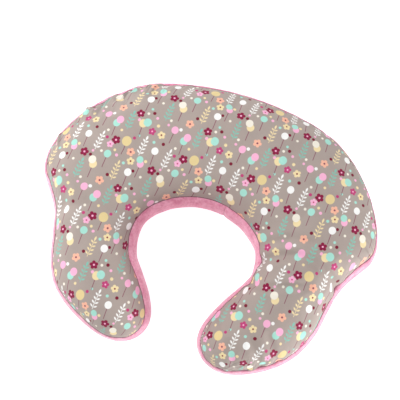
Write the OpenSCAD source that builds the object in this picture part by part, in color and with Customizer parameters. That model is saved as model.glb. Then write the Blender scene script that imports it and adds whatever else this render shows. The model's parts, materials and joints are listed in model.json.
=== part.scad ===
// Nursing pillow: a C-shaped stuffed pillow in a zipped slip cover.
// The origin is under the middle of its bounding box, on the ground; +Y points to the closed
// back of the C, -Y to its open mouth, and +Z up.

/* [Pillow] */
// Height of the pillow at the middle of its back
pillow_h = 150; // [138:1:162]
// Share of the crown's height that is left at the ends of the arms
arm_crown = 0.86; // [0.80:0.01:1.00]
// Radius of the arc of the back
back_r = 450; // [440:1:460]
// Width of the side band between its two seams
band_w = 72; // [66:1:76]
// Height of the lower seam above the ground
low_seam_z = 36; // [32:1:40]
// How far the seams sit inside the widest line of the side
seam_inset = 8; // [6:1:10]
// Share of the half width that rests flat on the ground
rest_share = 0.62; // [0.50:0.01:0.66]

/* [Cloth] */
// Thickness of the cover's fabrics
cover_t = 1.5; // [1.0:0.1:1.8]
// Thickness of the inner pillow's case
case_t = 0.8; // [0.5:0.1:1.0]
// Thickness of the sheet between the two fillings
divider_t = 0.6; // [0.4:0.1:1.0]
// Gap left between neighbouring layers
layer_gap = 0.3; // [0.2:0.1:0.4]
// How far the inner pillow's side sits inside the cover's widest line
case_inset = 4.6; // [4.5:0.1:5.5]
// Diameter of the sewing thread
thread_d = 0.8; // [0.6:0.1:1.0]

/* [Zipper] */
// Half of the zipper's opening, as an angle of the back's arc
zip_half_a = 20; // [19:0.5:20]
// Half height of the slot in the band that shows the coils
slot_half = 6.5; // [6.2:0.1:7.5]
// Half width of the gap between the two coils
coil_gap = 0.6; // [0.5:0.1:0.8]
// Height of one coil, across the zipper
coil_w = 2.8; // [2.4:0.1:3.0]
// Thickness of the coils, through the cloth
coil_t = 2.2; // [1.8:0.1:2.3]
// Thickness of the zipper tape
tape_t = 0.5; // [0.4:0.1:0.6]
// Width of one tape beyond its coil
tape_w = 11; // [8:1:14]
// Length of the slider's body
slider_l = 11; // [9:0.5:12]
// Length of the pull tab from its pin
pull_l = 30; // [22:1:34]
// Radius of the pull's pin
pin_r = 0.75; // [0.6:0.05:0.8]

/* [Care label] */
// Width of the folded care label
label_w = 24; // [18:1:30]
// Length of the care label below the seam
label_l = 26; // [18:1:28]

/* [Hidden] */

print_color = "#b1a296";
plush_color = "#ef9fbd";
side_color = "#f3a9c4";
thread_color = "#c7708f";
zip_color = "#f2b6cb";
metal_color = "#c9ccd0";
case_color = "#f4f2ee";
fibre_color = "#ffffff";

eps = 0.01;
arc_fn = 240;
small_fn = 48;

// ---- Outline ----

back_y = 224.4;
arc_centre = [0, back_y - back_r];

function arc_point(angle) = arc_centre + back_r * [sin(angle), cos(angle)];

// Right half of the outline, as pairs of points across the pillow: [outer edge, inner edge],
// from the middle of the back to the end of the arm
stations = [
    [arc_point(0), [0, 25]],
    [arc_point(10), [25, 22]],
    [arc_point(20), [56, 11]],
    [[206, 163], [77, -4]],
    [[249, 112], [90, -18]],
    [[277, 52], [97, -36]],
    [[279, 14], [98, -54]],
    [[260, -14], [94, -68]],
    [[243, -44], [85, -85]],
    [[233, -84], [70, -107]],
    [[222, -130], [52, -138]],
    [[196, -173], [41, -168]]
];
// Points round the end of the arm, from its outer edge to its inner edge
arm_end = [[150, -207], [100, -224.6], [64, -217], [44, -195]];

last = len(stations) - 1;
half_points = concat([for (s = stations) s[0]], arm_end, [for (i = [last : -1 : 0]) stations[i][1]]);
half_len = len(half_points) - 1;
loop_len = 2 * half_len;
mid_points = [for (s = stations) (s[0] + s[1]) / 2];

function flip(p) = [-p[0], p[1]];
function half_point(i) =
    i < 0 ? flip(half_points[-i]) :
    i > half_len ? flip(half_points[2 * half_len - i]) : half_points[i];
function mid_point(i) = i < 0 ? flip(mid_points[-i]) : mid_points[min(i, last)];
function spline(a, b, c, d, u) =
    0.5 * (2 * b + (c - a) * u + (2 * a - 5 * b + 4 * c - d) * u * u
           + (3 * b - a - 3 * c + d) * u * u * u);

// Point of the outline's right half at t, from 0 at the back to half_len at the inner edge
function half_edge(t) =
    let (i = min(floor(t), half_len - 1))
    spline(half_point(i - 1), half_point(i), half_point(i + 1), half_point(i + 2), t - i);
// Point of the middle line at station s
function half_mid(s) =
    let (i = min(floor(s), last - 1))
    spline(mid_point(i - 1), mid_point(i), mid_point(i + 1), mid_point(i + 2), s - i);
function station_of(t) = min(t, last, half_len - t);

// The whole outline, clockwise from the middle of the back: t runs from 0 to loop_len
function edge(t) = t <= half_len ? half_edge(t) : flip(half_edge(loop_len - t));
function middle(t) = t <= half_len ? half_mid(station_of(t)) : flip(half_mid(station_of(loop_len - t)));
function wrap(t) = (t + loop_len) % loop_len;
function outward(t) =
    let (d = edge(wrap(t + 0.05)) - edge(wrap(t - 0.05)))
    [-d[1], d[0]] / norm(d);
function inset_edge(t, inset) = edge(t) - inset * outward(t);

// Samples of the outline, two to each stretch between its points
per_point = 2;
sample_count = loop_len * per_point;
samples = [for (i = [0 : sample_count - 1]) i / per_point];
mid_count = last * per_point;

function mid_index(i) =
    let (right = i <= sample_count / 2,
         j = right ? i : sample_count - i,
         k = min(j, mid_count, sample_count / 2 - j))
    right || k == 0 ? k : mid_count + k;
middles = concat([for (k = [0 : mid_count]) half_mid(k / per_point)],
                 [for (k = [1 : mid_count]) flip(half_mid(k / per_point))]);

// ---- Swept solids ----

// The arms are a little thinner than the back
function crown_share(p) = arm_crown + (1 - arm_crown) * min(1, max(0, (p[1] + 180) / 300));

// Height of a point of a chain: a fixed height and a part that follows the crown
function chain_z(link, p) = link[2] + link[3] * crown_share(p);

// One ring of a chain: share 0 is the middle line, share 1 the outline less the inset
function ring(link) =
    link[0] == 0
    ? [for (p = middles) [p[0], p[1], chain_z(link, p)]]
    : [for (t = samples)
          let (m = middle(t), p = m + link[0] * (inset_edge(t, link[1]) - m))
          [p[0], p[1], chain_z(link, m)]];

function fan_faces(mids, first, down) =
    [for (i = [0 : sample_count - 1])
        let (j = (i + 1) % sample_count,
             a = mids + mid_index(i), b = mids + mid_index(j),
             c = first + i, d = first + j)
        each concat(down ? [[a, c, d]] : [[a, d, c]],
                    a == b ? [] : down ? [[a, d, b]] : [[a, b, d]])];

function belt_faces(upper, lower) =
    [for (i = [0 : sample_count - 1])
        let (j = (i + 1) % sample_count)
        each [[upper + i, lower + i, lower + j], [upper + i, lower + j, upper + j]]];

// Solid bounded by a chain of rings that starts and ends on the middle line.
// Each link is [share of the half width, inset, fixed height, crown height].
module ringed_solid(chain) {
    n_mid = len(middles);
    n_ring = len(chain) - 2;
    points = [for (link = chain) each ring(link)];
    faces = concat(
        fan_faces(0, n_mid, true),
        [for (k = [0 : n_ring - 2])
            each belt_faces(n_mid + k * sample_count, n_mid + (k + 1) * sample_count)],
        fan_faces(n_mid + n_ring * sample_count, n_mid + (n_ring - 1) * sample_count, false));
    polyhedron(points, faces, convexity = 10);
}

// Strip that follows the outline over the samples ts. Its section is a list of [inset, height],
// clockwise when the outside is on the right.
module outline_strip(section, ts, closed = false) {
    m = len(section);
    n = len(ts);
    points = [for (t = ts) let (e = edge(t), o = outward(t))
                 for (s = section) [e[0] - s[0] * o[0], e[1] - s[0] * o[1], s[1]]];
    spans = closed ? n : n - 1;
    sides = [for (i = [0 : spans - 1], k = [0 : m - 1])
                let (a = i * m, b = ((i + 1) % n) * m, l = (k + 1) % m)
                each [[a + k, b + l, b + k], [a + k, a + l, b + l]]];
    first_cap = [for (k = [1 : m - 2]) [0, k + 1, k]];
    last_cap = [for (k = [1 : m - 2]) [(n - 1) * m, (n - 1) * m + k, (n - 1) * m + k + 1]];
    polyhedron(points, closed ? sides : concat(sides, first_cap, last_cap), convexity = 10);
}

// ---- Heights and profiles ----

high_seam_z = low_seam_z + band_w;
mid_z = (low_seam_z + high_seam_z) / 2;
crown_h = pillow_h - high_seam_z;
seam_half_gap = thread_d / 2 + 0.1;

// The band bulges on an arc through both seams
bulge_r = (pow(band_w / 2, 2) + pow(seam_inset, 2)) / (2 * seam_inset);
function bulge_inset(z) = bulge_r - sqrt(pow(bulge_r, 2) - pow(z - mid_z, 2));

// Shape of the crown and of the underside, as shares of their heights
crown_shares = [0.34, 0.62, 0.86, 1];
function crown_rise(share) = pow(1 - pow(share, 2.2), 0.6);
base_shares = [1, 0.92, 0.80, rest_share];
function base_rise(share) = pow(max(0, (share - rest_share) / (1 - rest_share)), 1.7);

// Crowned skin from the seam at edge_z up to edge_z + rise, t thick
module top_skin(inset, edge_z, rise, t) {
    outer = [for (s = crown_shares) [s, inset, edge_z, rise * crown_rise(s)]];
    inner = [for (i = [len(crown_shares) - 1 : -1 : 0])
                let (s = crown_shares[i], r = rise * crown_rise(s))
                [s, inset + t, edge_z - (s == 1 ? 0 : t), r]];
    ringed_solid(concat([[0, 0, edge_z, rise]], outer, inner, [[0, 0, edge_z - t, rise]]));
}

// Underside skin from base_z, flat where it rests, up to the seam at edge_z, t thick
module base_skin(inset, edge_z, base_z, t) {
    drop = edge_z - base_z;
    n = len(base_shares);
    inner = [for (i = [n - 1 : -1 : 0])
                let (s = base_shares[i])
                [s, inset + t, s == 1 ? edge_z : base_z + t + (drop - t) * base_rise(s), 0]];
    outer = [for (s = base_shares) [s, inset, base_z + drop * base_rise(s), 0]];
    ringed_solid(concat([[0, 0, base_z + t, 0]], inner, outer, [[0, 0, base_z, 0]]));
}

// Section of a bulged strip between two heights, at a depth behind the band's outer face
function strip_section(z_low, z_high, depth, t, steps) =
    let (zs = [for (k = [0 : steps]) z_low + (z_high - z_low) * k / steps])
    concat([for (z = zs) [bulge_inset(z) + depth, z]],
           [for (k = [steps : -1 : 0]) [bulge_inset(zs[k]) + depth + t, zs[k]]]);

band_low = low_seam_z + seam_half_gap;
band_high = high_seam_z - seam_half_gap;
band_section = strip_section(band_low, band_high, 0, cover_t, 4);

// Outline parameters where the band's pieces join
zip_end_t = 2;
inner_join_t = half_len - 1;
join_gap = 0.004;

function span_samples(from, to) =
    concat([from + join_gap],
           [for (t = samples) if (t > from && t < to) t],
           [to - join_gap]);

// ---- Cover ----

module cover_top_panel() {
    color(print_color)
    top_skin(seam_inset, high_seam_z + seam_half_gap, crown_h - seam_half_gap, cover_t);
}

module cover_bottom_panel() {
    color(plush_color)
    base_skin(seam_inset, low_seam_z - seam_half_gap, 0, cover_t);
}

module cover_band_right() {
    color(side_color)
    outline_strip(band_section, span_samples(zip_end_t, inner_join_t));
}

module cover_band_left() {
    color(side_color)
    outline_strip(band_section, span_samples(inner_join_t, loop_len - zip_end_t));
}

module seam_thread(z) {
    r = thread_d / 2;
    depth = seam_inset + cover_t / 2;
    color(thread_color)
    outline_strip([[depth, z - r], [depth - r, z], [depth, z + r], [depth + r, z]], samples, true);
}

module upper_seam_thread() {
    seam_thread(high_seam_z);
}

module lower_seam_thread() {
    seam_thread(low_seam_z);
}

// ---- Zipper ----

// Solid of revolution about the arc's centre, from angle a0 to a1 measured from +Y to +X
module on_arc(a0, a1) {
    translate([arc_centre[0], arc_centre[1], 0])
    rotate([0, 0, 90 - a1])
    rotate_extrude(angle = a1 - a0, $fn = arc_fn)
    children();
}

// Section of a strip, placed at the arc's radius
module arc_section(z_low, z_high, depth, t, steps) {
    polygon([for (p = strip_section(z_low, z_high, depth, t, steps)) [back_r - p[0], p[1]]]);
}

module at_back(angle) {
    translate([arc_centre[0], arc_centre[1], mid_z])
    rotate([0, 0, -angle])
    translate([0, back_r, 0])
    children();
}

zip_strip_a = zip_half_a - 0.03;
tape_half_a = zip_half_a - 0.4;
coil_half_a = zip_half_a - 1.6;
stop_a0 = coil_half_a + 0.1;
stop_a1 = stop_a0 + 0.5;
tape_depth = cover_t + layer_gap;
coil_front = 0.6;
coil_z = coil_gap + coil_w;

module zip_strip_upper() {
    color(side_color)
    on_arc(-zip_strip_a, zip_strip_a) arc_section(mid_z + slot_half, band_high, 0, cover_t, 3);
}

module zip_strip_lower() {
    color(side_color)
    on_arc(-zip_strip_a, zip_strip_a) arc_section(band_low, mid_z - slot_half, 0, cover_t, 3);
}

module zip_tape(side) {
    near = coil_z + 0.1;
    far = near + tape_w;
    color(zip_color)
    on_arc(-tape_half_a, tape_half_a)
    arc_section(mid_z + min(side * near, side * far), mid_z + max(side * near, side * far),
                tape_depth, tape_t, 2);
}

module zip_tape_upper() {
    zip_tape(1);
}

module zip_tape_lower() {
    zip_tape(-1);
}

// Cross-section of one coil: a rounded bar beside the gap
module coil_profile(side) {
    round_r = 0.7;
    translate([back_r - coil_front - coil_t, mid_z + (side > 0 ? coil_gap : -coil_z)]) {
        translate([0, round_r])
        square([coil_t, coil_w - 2 * round_r]);
        translate([round_r, 0])
        square([coil_t - 2 * round_r, coil_w]);
        for (x = [round_r, coil_t - round_r], z = [round_r, coil_w - round_r])
            translate([x, z])
            circle(r = round_r, $fn = small_fn);
    }
}

module zip_coil_upper() {
    color(zip_color)
    on_arc(-coil_half_a, coil_half_a) coil_profile(1);
}

module zip_coil_lower() {
    color(zip_color)
    on_arc(-coil_half_a, coil_half_a) coil_profile(-1);
}

// One small clip on the end of each coil, at the closed end
module zip_top_stops() {
    color(metal_color)
    for (side = [1, -1])
        on_arc(stop_a0, stop_a1) coil_profile(side);
}

// One clip across both coils, at the open end
module zip_bottom_stop() {
    color(metal_color)
    on_arc(-stop_a1, -stop_a0)
    translate([back_r - coil_front - coil_t, mid_z - coil_z])
    square([coil_t, 2 * coil_z]);
}

slider_half_a = asin(slider_l / 2 / back_r);
slider_rest_a = stop_a0 - slider_half_a - 0.1;
slider_clear = 0.35;
plate_t = 1.1;
slider_half_w = 5;
flange_w = 0.9;
front_plate_y = slider_clear - coil_front;
back_plate_y = -coil_front - coil_t - slider_clear - plate_t;
pin_y = front_plate_y + plate_t + pin_r + 0.45;
bridge_half_w = 0.9;
arm_gap = 0.3;
arm_t = 1.1;
pull_t = 1.2;
pull_half_w = bridge_half_w + arm_gap + arm_t;

// Plate with a rounded nose, lying across the coils
module slider_plate(y) {
    nose_r = slider_half_w;
    translate([0, y + plate_t, 0])
    rotate([90, 0, 0])
    linear_extrude(plate_t)
    intersection() {
        union() {
            translate([-slider_l / 2, -slider_half_w])
            square([slider_l - nose_r, 2 * slider_half_w]);
            translate([slider_l / 2 - nose_r, 0])
            circle(r = nose_r, $fn = 2 * small_fn);
        }
        translate([-slider_l / 2, -slider_half_w])
        square([slider_l, 2 * slider_half_w]);
    }
}

module slider_flanges() {
    flange_l = slider_l - slider_half_w;
    tape_y = -tape_depth;
    front_low = tape_y + slider_clear;
    back_high = tape_y - tape_t - slider_clear;
    for (side = [1, -1]) {
        z0 = side > 0 ? slider_half_w - flange_w : -slider_half_w;
        translate([-slider_l / 2, front_low, z0])
        cube([flange_l, front_plate_y - front_low + eps, flange_w]);
        translate([-slider_l / 2, back_plate_y + plate_t - eps, z0])
        cube([flange_l, back_high - back_plate_y - plate_t + eps, flange_w]);
    }
}

// Thin wall between the plates that would part the coils
module slider_divider() {
    half_t = coil_gap - 0.3;
    translate([0, back_plate_y + plate_t - eps, -half_t])
    cube([2.5, front_plate_y - back_plate_y - plate_t + 2 * eps, 2 * half_t]);
}

// Bridge over the front plate that carries the pull's pin
module slider_bridge() {
    base_y = front_plate_y + plate_t;
    bridge_r = pin_r + 0.75;
    translate([0, 0, -bridge_half_w])
    difference() {
        union() {
            translate([0, pin_y, 0])
            cylinder(r = bridge_r, h = 2 * bridge_half_w, $fn = small_fn);
            translate([-bridge_r, base_y - eps, 0])
            cube([2 * bridge_r, pin_y - base_y + eps, 2 * bridge_half_w]);
        }
        translate([0, pin_y, -eps])
        cylinder(r = pin_r + 0.08, h = 2 * bridge_half_w + 2 * eps, $fn = small_fn);
    }
}

module zip_slider() {
    color(metal_color)
    at_back(slider_rest_a) {
        slider_plate(front_plate_y);
        slider_plate(back_plate_y);
        slider_flanges();
        slider_divider();
        slider_bridge();
    }
}

// Tab on a pin through the bridge, lying back along the zipper
module zip_pull() {
    arm_l = 5;
    arm_r = pull_t / 2 + 0.2;
    eye_r = 1.4;
    color(metal_color)
    at_back(slider_rest_a)
    translate([0, pin_y, 0]) {
        translate([0, 0, -pull_half_w])
        cylinder(r = pin_r, h = 2 * pull_half_w, $fn = small_fn);
        for (side = [1, -1])
            translate([0, 0, side > 0 ? pull_half_w - arm_t : -pull_half_w]) {
                cylinder(r = arm_r, h = arm_t, $fn = small_fn);
                translate([-arm_l, -pull_t / 2, 0])
                cube([arm_l, pull_t, arm_t]);
            }
        translate([0, pull_t / 2, 0])
        rotate([90, 0, 0])
        linear_extrude(pull_t)
        difference() {
            union() {
                translate([-pull_l + pull_half_w, -pull_half_w])
                square([pull_l - pull_half_w - arm_l + eps, 2 * pull_half_w]);
                translate([-pull_l + pull_half_w, 0])
                circle(r = pull_half_w, $fn = 2 * small_fn);
            }
            translate([-pull_l + pull_half_w, 0])
            circle(r = eye_r, $fn = small_fn);
        }
    }
}

// ---- Care label ----

// Blank folded tag hanging from the lower seam, on the left of the back
module care_label() {
    label_t = 0.6;
    label_t_param = loop_len - 3;
    at = inset_edge(label_t_param, seam_inset - cover_t - label_t);
    dir = outward(label_t_param);
    color("white")
    translate([at[0], at[1], low_seam_z - 2 - label_l])
    rotate([0, 0, atan2(dir[1], dir[0]) - 90])
    translate([-label_w / 2, 0, 0])
    cube([label_w, label_t, label_l]);
}

// ---- Inner pillow ----

case_seam_inset = case_inset + seam_inset - layer_gap;
case_low_z = low_seam_z + 2;
case_high_z = high_seam_z - 2;
fill_inset = case_inset + case_t + layer_gap;
fill_seam_inset = case_seam_inset + case_t + layer_gap;

module case_top() {
    rise = pillow_h - cover_t - layer_gap - case_high_z;
    color(case_color)
    top_skin(case_seam_inset, case_high_z, rise, case_t);
}

module case_bottom() {
    color(case_color)
    base_skin(case_seam_inset, case_low_z, cover_t + layer_gap, case_t);
}

module case_band() {
    low = case_low_z + layer_gap;
    high = case_high_z - layer_gap;
    color(case_color)
    outline_strip([[case_seam_inset, low], [case_inset, mid_z], [case_seam_inset, high],
                   [case_seam_inset + case_t, high], [case_inset + case_t, mid_z],
                   [case_seam_inset + case_t, low]], samples, true);
}

module fill_divider() {
    color(case_color)
    translate([0, 0, mid_z - divider_t / 2])
    linear_extrude(divider_t)
    polygon([for (t = samples) inset_edge(t, fill_inset)]);
}

fill_low_z = mid_z - divider_t / 2 - layer_gap;
fill_high_z = mid_z + divider_t / 2 + layer_gap;
fill_cut = cover_t + case_t + 2 * layer_gap;

// Soft fibre above the divider
module fill_soft() {
    edge_z = case_high_z - case_t - layer_gap;
    rise = pillow_h - fill_cut - edge_z;
    crown = [for (s = crown_shares) [s, fill_seam_inset, edge_z, rise * crown_rise(s)]];
    color(fibre_color)
    ringed_solid(concat([[0, 0, edge_z, rise]], crown,
                        [[1, fill_inset, fill_high_z, 0], [0, 0, fill_high_z, 0]]));
}

// Firm fibre below the divider
module fill_firm() {
    edge_z = case_low_z + layer_gap;
    drop = edge_z - fill_cut;
    base = [for (s = base_shares) [s, fill_seam_inset, fill_cut + drop * base_rise(s), 0]];
    color(fibre_color)
    ringed_solid(concat([[0, 0, fill_low_z, 0], [1, fill_inset, fill_low_z, 0]], base,
                        [[0, 0, fill_cut, 0]]));
}

cover_top_panel();
cover_bottom_panel();
cover_band_right();
cover_band_left();
zip_strip_upper();
zip_strip_lower();
upper_seam_thread();
lower_seam_thread();
zip_tape_upper();
zip_tape_lower();
zip_coil_upper();
zip_coil_lower();
zip_top_stops();
zip_bottom_stop();
zip_slider();
zip_pull();
care_label();
case_top();
case_bottom();
case_band();
fill_divider();
fill_soft();
fill_firm();
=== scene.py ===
import json
import math

import bmesh
import bpy
import numpy as np
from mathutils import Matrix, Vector, geometry, noise
from mathutils.bvhtree import BVHTree


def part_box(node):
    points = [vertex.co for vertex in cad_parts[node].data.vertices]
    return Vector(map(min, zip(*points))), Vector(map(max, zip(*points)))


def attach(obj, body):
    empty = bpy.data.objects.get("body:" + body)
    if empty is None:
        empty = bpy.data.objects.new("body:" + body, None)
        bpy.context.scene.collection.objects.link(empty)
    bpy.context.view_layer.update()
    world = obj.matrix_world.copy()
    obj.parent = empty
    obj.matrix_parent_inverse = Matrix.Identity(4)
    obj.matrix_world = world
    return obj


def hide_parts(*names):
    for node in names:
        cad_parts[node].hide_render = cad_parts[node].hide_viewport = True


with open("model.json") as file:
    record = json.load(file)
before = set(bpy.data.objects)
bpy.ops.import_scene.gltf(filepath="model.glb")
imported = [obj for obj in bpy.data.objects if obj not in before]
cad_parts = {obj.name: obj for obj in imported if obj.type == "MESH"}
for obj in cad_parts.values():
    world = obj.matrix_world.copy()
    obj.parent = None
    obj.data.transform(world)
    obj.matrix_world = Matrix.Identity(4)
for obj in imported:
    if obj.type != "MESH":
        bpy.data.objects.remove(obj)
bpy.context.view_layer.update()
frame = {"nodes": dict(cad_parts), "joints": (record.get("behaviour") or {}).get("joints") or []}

MM = 0.001
PILLOW_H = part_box("cover_top_panel")[1].z
ZIP_JOINT = next(j for j in frame["joints"] if j["name"] == "zip_slide")
ARC_CENTRE = np.array(ZIP_JOINT["pos_m"][:2])
MID_Z = ZIP_JOINT["pos_m"][2]

# ---- outline (mm, as in the CAD source)

BACK_R = 450
BACK_Y = ARC_CENTRE[1] / MM + BACK_R


def arc_point(degrees):
    a = math.radians(degrees)
    return (BACK_R * math.sin(a), BACK_Y - BACK_R + BACK_R * math.cos(a))


# Right half, as pairs of points across the pillow: outer edge, inner edge
STATIONS = [
    (arc_point(0), (0, 25)),
    (arc_point(10), (25, 22)),
    (arc_point(20), (56, 11)),
    ((206, 163), (77, -4)),
    ((249, 112), (90, -18)),
    ((277, 52), (97, -36)),
    ((279, 14), (98, -54)),
    ((260, -14), (94, -68)),
    ((243, -44), (85, -85)),
    ((233, -84), (70, -107)),
    ((222, -130), (52, -138)),
    ((196, -173), (41, -168)),
]
# Round the end of the arm, from its outer edge to its inner edge
ARM_END = [(150, -207), (100, -224.6), (64, -217), (44, -195)]

LAST = len(STATIONS) - 1
HALF = [s[0] for s in STATIONS] + ARM_END + [s[1] for s in reversed(STATIONS)]
HALF_LEN = len(HALF) - 1
LOOP_LEN = 2 * HALF_LEN
FLIP = np.array([-1, 1])
LOOP = np.array(HALF + [(-x, y) for x, y in HALF[-2:0:-1]]) * MM
MIDS = np.array([np.add(*s) / 2 for s in STATIONS]) * MM

# How far the outline falls short of the pattern: (outline parameter, mm)
SLACK = [
    (0, 0), (2.2, 0), (3.5, 1), (5, 0), (7.5, 0), (8.3, 1.5), (9.2, 2.5), (10.2, 2.5), (11.5, 0), (19, 0),
    (27, 0), (33, 0), (34, 1.5), (35, 4), (36, 3), (37, 1), (38, 0), (42, 1), (43.3, -2), (44.5, 0.5),
    (45.7, 0), (46.4, -2), (47.2, -2.5), (48, 0), (48.5, 1.5), (49.5, 0.5), (50.4, 2.5), (51.2, 4.5),
    (51.95, 0), (54, 0),
]


def spline(a, b, c, d, u):
    return 0.5 * (
        2 * b + (c - a) * u + (2 * a - 5 * b + 4 * c - d) * u**2 + (3 * b - a - 3 * c + d) * u**3
    )


def pattern_edge(t):
    """Points of the cover's pattern outline at t, clockwise from the middle of the back, 0 to LOOP_LEN."""
    t = np.mod(t, LOOP_LEN)
    i = np.floor(t).astype(int)
    p = [LOOP[(i + k) % LOOP_LEN] for k in (-1, 0, 1, 2)]
    return spline(*p, (t - i)[:, None])


def across(line, t):
    """Unit vectors square to a line at t, to its left as t grows."""
    d = line(t + 0.05) - line(t - 0.05)
    return np.stack([-d[:, 1], d[:, 0]], 1) / np.linalg.norm(d, axis=1)[:, None]


def edge(t):
    """Points of the outline at t, where the stuffing leaves the pattern's outline a little slack."""
    slack = np.interp(np.mod(t, LOOP_LEN), *np.array(SLACK, float).T) * MM
    return pattern_edge(t) - slack[:, None] * across(pattern_edge, t)


def middle(t):
    """Points of the middle line that go with the outline's points at t."""
    t = np.mod(t, LOOP_LEN)
    left = t > HALF_LEN
    h = np.where(left, LOOP_LEN - t, t)
    s = np.minimum(np.minimum(h, LAST), HALF_LEN - h)
    i = np.minimum(np.floor(s).astype(int), LAST - 1)

    def at(k):
        point = MIDS[np.minimum(np.abs(k), LAST)]
        return np.where((k < 0)[:, None], point * FLIP, point)

    p = spline(at(i - 1), at(i), at(i + 1), at(i + 2), (s - i)[:, None])
    return np.where(left[:, None], p * FLIP, p)


def outward(t):
    return across(edge, t)


# ---- cover shape

SEAM_INSET = 8 * MM  # how far the seams sit inside the outline, where nothing pulls them
BAND_W = 72 * MM
LOW_SEAM = MID_Z - BAND_W / 2
HIGH_SEAM = MID_Z + BAND_W / 2
CROWN = PILLOW_H - HIGH_SEAM
CROWN_POWERS = (2.4, 0.64)  # the crown's section, from the middle line to the seam
ARM_CROWN = 0.86  # height of the crown at the ends of the arms, as a share of its height at the back
ARM_Y = -0.180  # where that share is reached
ARM_RISE = 0.300  # over what distance the crown rises from it
REST_SHARE = 0.60  # share of the underside that rests on the ground
BASE_POWER = 1.7  # the underside's section, from there to the seam
GROOVE = 1.8 * MM  # how deep the seams lie
# How the seams run where the cover pulls them, in mm: (outline parameter, how far they sit inside the
# outline, how far the upper one sinks)
SEAM_PULL = [
    (0, 9, 0), (2.2, 6.5, 0), (3.2, 4, 0), (4.6, 4, 0), (6.2, 7.5, 1), (8, 8, 2), (10.5, 7, 6),
    (12.5, 5, 10), (14, 4.5, 10), (16, 6.5, 4), (18, 6, 1), (19.5, 4.5, 0), (21.5, 5, 0),
    (23, 7.5, 0), (25, 9.5, 0), (27, 10, 0), (31, 10, 0), (35, 12, 0), (38, 8.5, 4), (40, 4.5, 10),
    (41.5, 5, 10), (43.5, 7, 6), (46, 7, 2), (48, 6.5, 1), (49.5, 3, 0), (51, 2.6, 0),
    (51.8, 6.5, 0), (54, 9, 0),
]
BULGE_R = ((BAND_W / 2) ** 2 + SEAM_INSET**2) / (2 * SEAM_INSET)
SLOT_HALF = 6.5 * MM  # half the height of the slot that the zipper closes
CELL = 5.5 * MM  # size of the cloth mesh's faces
RINGS = 40  # of a panel, from the middle line to the seam
SEAM_ROW = 2.2 * MM  # from a seam to the row of points beside it
ZIP_T = 2.0  # outline parameter of the zipper's ends
INNER_JOIN_T = HALF_LEN - 1  # the band's join on the inner curve
JOINS = (ZIP_T, INNER_JOIN_T, LOOP_LEN - ZIP_T)
JOIN_ROW = 1.6 * MM  # from a join to the points beside it, and the width of its groove
JOIN_GROOVE = 1.6 * MM  # how deep a join lies


def bulge_inset(z):
    """How far a band of SEAM_INSET's bulge lies inside the outline at a height."""
    return BULGE_R - np.sqrt(BULGE_R**2 - (z - MID_Z) ** 2)


def seam_pull(t, column):
    """A column of SEAM_PULL at outline parameters t, in metres."""
    knots = np.array(SEAM_PULL, float).T
    return np.interp(np.mod(t, LOOP_LEN), knots[0], knots[column]) * MM


def seam_inset(t):
    return seam_pull(t, 1)


def high_seam(t):
    """Height of the upper seam."""
    return HIGH_SEAM - seam_pull(t, 2)


def band_inset(t, z):
    """How far the band lies inside the outline at a height."""
    return (seam_inset(t) - GROOVE) / SEAM_INSET * bulge_inset(z)


def crown_share(y):
    """Height of the crown at y, as a share of its height at the back."""
    return ARM_CROWN + (1 - ARM_CROWN) * np.clip((y - ARM_Y) / ARM_RISE, 0, 1)


def crown_rise(r):
    """Height of the crown over the seam at a share r of the way to the seam, from 1 to 0."""
    return (1 - np.minimum(r, 1) ** CROWN_POWERS[0]) ** CROWN_POWERS[1]


def base_rise(r):
    """The same for the underside, from 0 to 1."""
    return np.maximum(0, (r - REST_SHARE) / (1 - REST_SHARE)) ** BASE_POWER


def loop_samples():
    """Outline parameters about CELL apart, with the band's joins among them and a pair close to each."""
    samples = 6000
    t = np.linspace(0, LOOP_LEN, samples, endpoint=False)
    along = lengths_along(edge(t))
    step = np.diff(along)
    count = int(along[-1] / CELL)
    even = np.interp(np.arange(count) * along[-1] / count, along, np.append(t, LOOP_LEN))
    speed = {j: np.interp(j, t, step * samples / LOOP_LEN) for j in JOINS}
    beside = [j + k * JOIN_ROW / speed[j] for j in JOINS for k in (-1, 0, 1)]
    room = 0.045  # of the outline's parameter, between these and the rest
    far = [x for x in even if min(abs(x - e) for e in beside) > room]
    return np.array(sorted(far + beside))


def lengths_along(points):
    """Distance along a closed loop at each of its points, with the whole length last."""
    step = np.linalg.norm(np.roll(points, -1, 0) - points, axis=1)
    return np.concatenate([[0], np.cumsum(step)])


LOOP_T = loop_samples()
N_LOOP = len(LOOP_T)
ALONG = lengths_along(edge(LOOP_T))


def panel_grid(rise):
    """(flat, solid) points of a panel's rings, from the middle line to the seam. flat is where the cloth
    lies before it is stuffed. solid is where it lies on the pillow, then how far along and from the seam
    it is. rise gives heights for (share, outline parameters)."""
    shares = 1 - (1 - np.linspace(0, 1, RINGS)) ** 1.5  # closer together towards the seam
    t = np.append(LOOP_T, LOOP_T[0])
    m = middle(t)
    b = edge(t) - seam_inset(t)[:, None] * outward(t)
    reach = b - m
    width = np.linalg.norm(reach, axis=1)
    solid = np.empty((len(shares), len(t), 5))
    for k, r in enumerate(shares):
        solid[k, :, :2] = m + r * reach
        solid[k, :, 2] = rise(r, t)
    step = np.hypot(np.diff(shares)[:, None] * width, np.diff(solid[:, :, 2], axis=0))
    run = np.vstack([np.zeros(len(t)), np.cumsum(step, 0)])
    flat = m[None] + run[:, :, None] * (reach / width[:, None])[None]
    solid[:, :, 3] = ALONG
    solid[:, :, 4] = run[-1] - run
    return flat, solid


def top_rise(r, t):
    top = HIGH_SEAM + CROWN * crown_share(middle(t)[:, 1])
    seam = high_seam(t)
    return seam + (top - seam) * crown_rise(r)


def bottom_rise(r, t):
    return np.full_like(t, LOW_SEAM * base_rise(r))


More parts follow.
